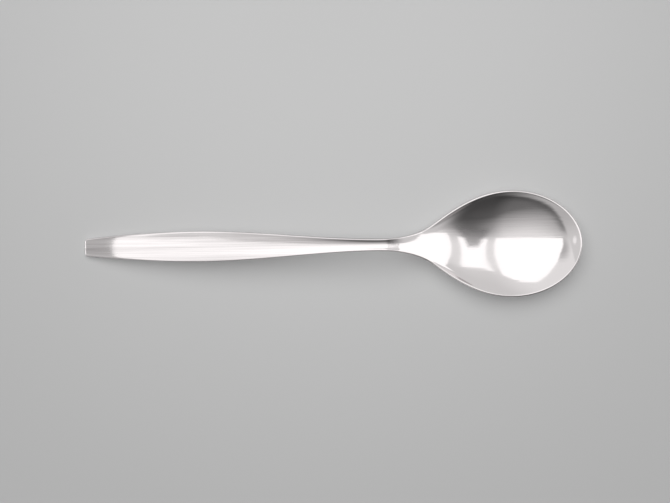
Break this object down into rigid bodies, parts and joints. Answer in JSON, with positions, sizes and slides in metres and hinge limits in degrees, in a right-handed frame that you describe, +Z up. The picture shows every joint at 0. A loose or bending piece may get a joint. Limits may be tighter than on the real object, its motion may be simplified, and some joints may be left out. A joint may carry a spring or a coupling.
{
  "type": "teaspoon",
  "caption": "Small one-piece steel spoon with an egg-shaped bowl, a slim neck and a leaf-shaped handle cut square at its end.",
  "frame": {"origin": "on the table, under the middle of the spoon's length, with the spoon lying face up", "axes": "+X from the handle's end to the front of the bowl, +Y across the spoon, +Z up, out of the bowl"},
  "size_m": [0.1401, 0.03, 0.0099],
  "materials": {
    "steel": "satin polished stainless steel, with fine polishing lines that run along the spoon"
  },
  "bodies": {
    "root": {"spoon": "steel"}
  },
  "joints": []
}
